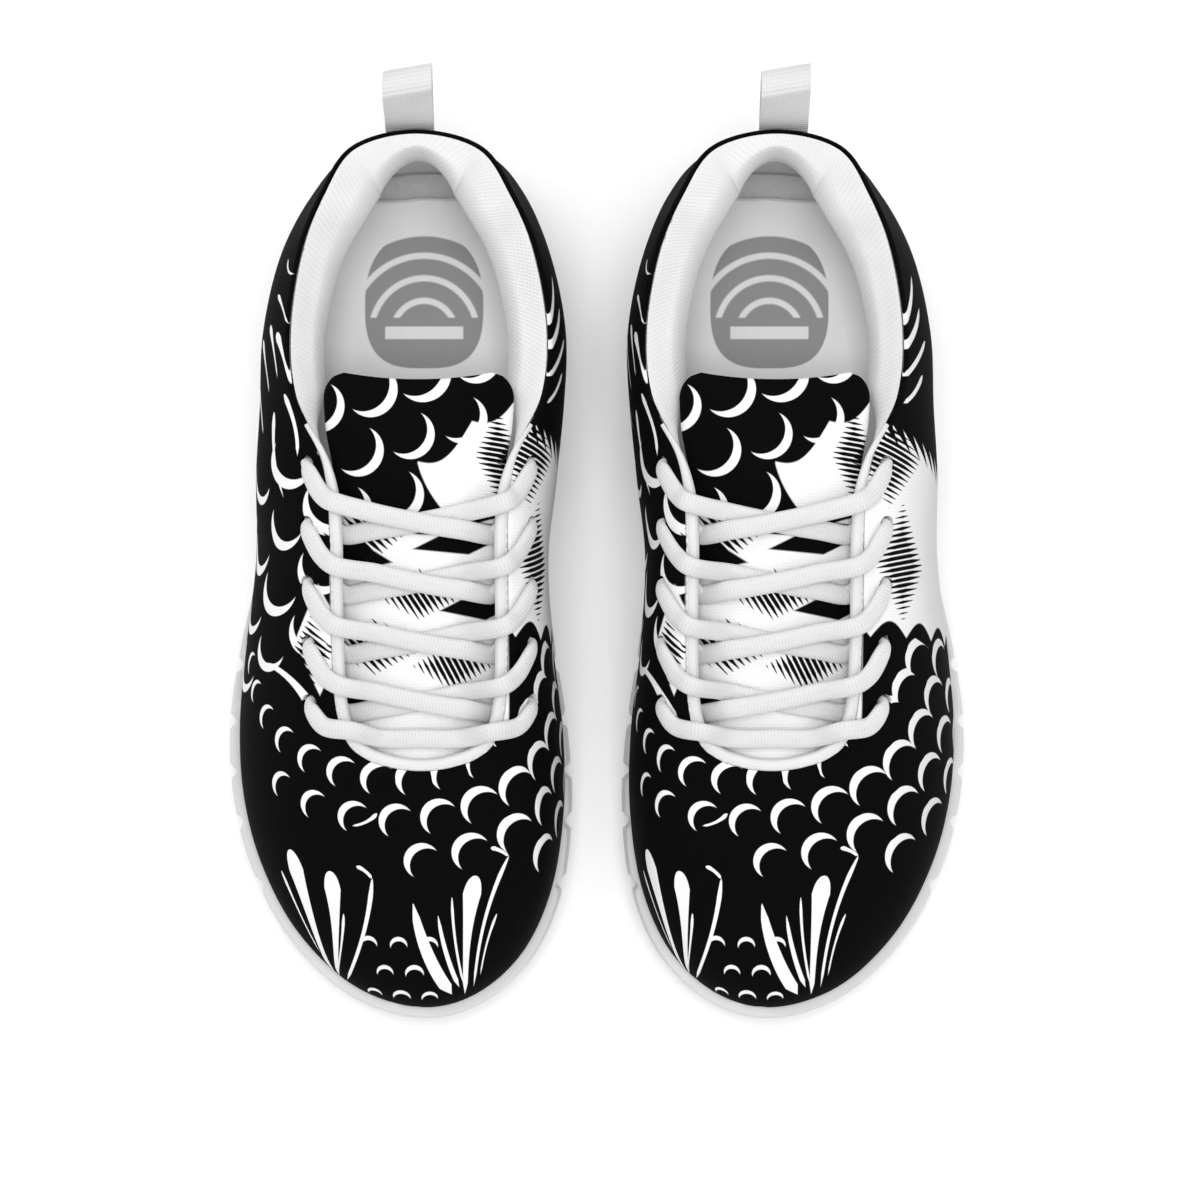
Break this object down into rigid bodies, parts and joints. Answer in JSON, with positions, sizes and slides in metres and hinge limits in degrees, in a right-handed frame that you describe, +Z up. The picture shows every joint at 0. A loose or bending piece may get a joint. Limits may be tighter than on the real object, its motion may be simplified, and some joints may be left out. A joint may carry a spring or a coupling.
{
  "type": "pair of lace-up cheerleading shoes",
  "caption": "Low lace-up training shoes with a printed mesh upper, padded collar, laced tongue, removable insole, heel pull tab and a flat grooved rubber sole.",
  "frame": {"origin": "middle of the pair's footprint box, on the floor that both outsoles stand on", "axes": "+X towards the left-foot shoe's outer side, +Y from the toes to the heels, +Z up; the toes point to -Y"},
  "size_m": [0.2334, 0.2906, 0.1138],
  "materials": {
    "outsole_rubber": "matt moulded rubber",
    "midsole_foam": "satin moulded foam",
    "stiffener": "matt non-woven board",
    "insole": "matt brushed fabric over foam",
    "printed_mesh": "matt mesh with an all-over black and white print",
    "printed_tongue": "matt mesh with an all-over black and white print",
    "lining": "matt brushed mesh",
    "collar_foam": "matt open foam",
    "binding": "matt woven tape",
    "lace": "matt woven cord",
    "aglet": "clear gloss sleeve",
    "webbing": "matt ribbed webbing"
  },
  "bodies": {
    "right_shoe": {"right_outsole": "outsole_rubber", "right_midsole": "midsole_foam", "right_lasting_board": "stiffener", "right_upper": "printed_mesh", "right_toe_puff": "stiffener", "right_heel_counter": "stiffener", "right_outer_eyestay": "stiffener", "right_inner_eyestay": "stiffener", "right_vamp_lining": "lining", "right_collar_foam": "collar_foam", "right_collar_lining": "lining", "right_throat_binding": "binding", "right_lace": "lace", "right_outer_aglet": "aglet", "right_inner_aglet": "aglet", "right_pull_tab_anchor": "webbing"},
    "right_tongue_flap": {"right_tongue": "printed_tongue", "right_tongue_lining": "lining"},
    "right_insole_pad": {"right_insole": "insole"},
    "right_pull_tab_flap": {"right_pull_tab_loop": "webbing"},
    "left_shoe": {"left_outsole": "outsole_rubber", "left_midsole": "midsole_foam", "left_lasting_board": "stiffener", "left_upper": "printed_mesh", "left_toe_puff": "stiffener", "left_heel_counter": "stiffener", "left_outer_eyestay": "stiffener", "left_inner_eyestay": "stiffener", "left_vamp_lining": "lining", "left_collar_foam": "collar_foam", "left_collar_lining": "lining", "left_throat_binding": "binding", "left_lace": "lace", "left_outer_aglet": "aglet", "left_inner_aglet": "aglet", "left_pull_tab_anchor": "webbing"},
    "left_tongue_flap": {"left_tongue": "printed_tongue", "left_tongue_lining": "lining"},
    "left_insole_pad": {"left_insole": "insole"},
    "left_pull_tab_flap": {"left_pull_tab_loop": "webbing"}
  },
  "joints": [
    {"name": "right_tongue_flex", "type": "hinge", "parent": "right_shoe", "child": "right_tongue_flap", "pos_m": [-0.054, -0.07128, 0.057], "axis": [1, 0, 0], "range_deg": [-6, 0], "stiffness_Nm_per_rad": 0.5, "springref_deg": 3.44},
    {"name": "right_insole_lift", "type": "hinge", "parent": "right_shoe", "child": "right_insole_pad", "pos_m": [-0.054, -0.13328, 0.031], "axis": [1, 0, 0], "range_deg": [0, 5]},
    {"name": "right_pull_tab_bend", "type": "hinge", "parent": "right_shoe", "child": "right_pull_tab_flap", "pos_m": [-0.054, 0.12992, 0.0894], "axis": [1, 0, 0], "range_deg": [-60, 10], "stiffness_Nm_per_rad": 0.012},
    {"name": "left_tongue_flex", "type": "hinge", "parent": "left_shoe", "child": "left_tongue_flap", "pos_m": [0.054, -0.07128, 0.057], "axis": [1, 0, 0], "range_deg": [-6, 0], "stiffness_Nm_per_rad": 0.5, "springref_deg": 3.44},
    {"name": "left_insole_lift", "type": "hinge", "parent": "left_shoe", "child": "left_insole_pad", "pos_m": [0.054, -0.13328, 0.031], "axis": [1, 0, 0], "range_deg": [0, 5]},
    {"name": "left_pull_tab_bend", "type": "hinge", "parent": "left_shoe", "child": "left_pull_tab_flap", "pos_m": [0.054, 0.12992, 0.0894], "axis": [1, 0, 0], "range_deg": [-60, 10], "stiffness_Nm_per_rad": 0.012},
    {"name": "left_shoe_lift", "type": "slide", "parent": "right_shoe", "child": "left_shoe", "axis": [0, 0, 1], "range_m": [0, 0.15]}
  ]
}
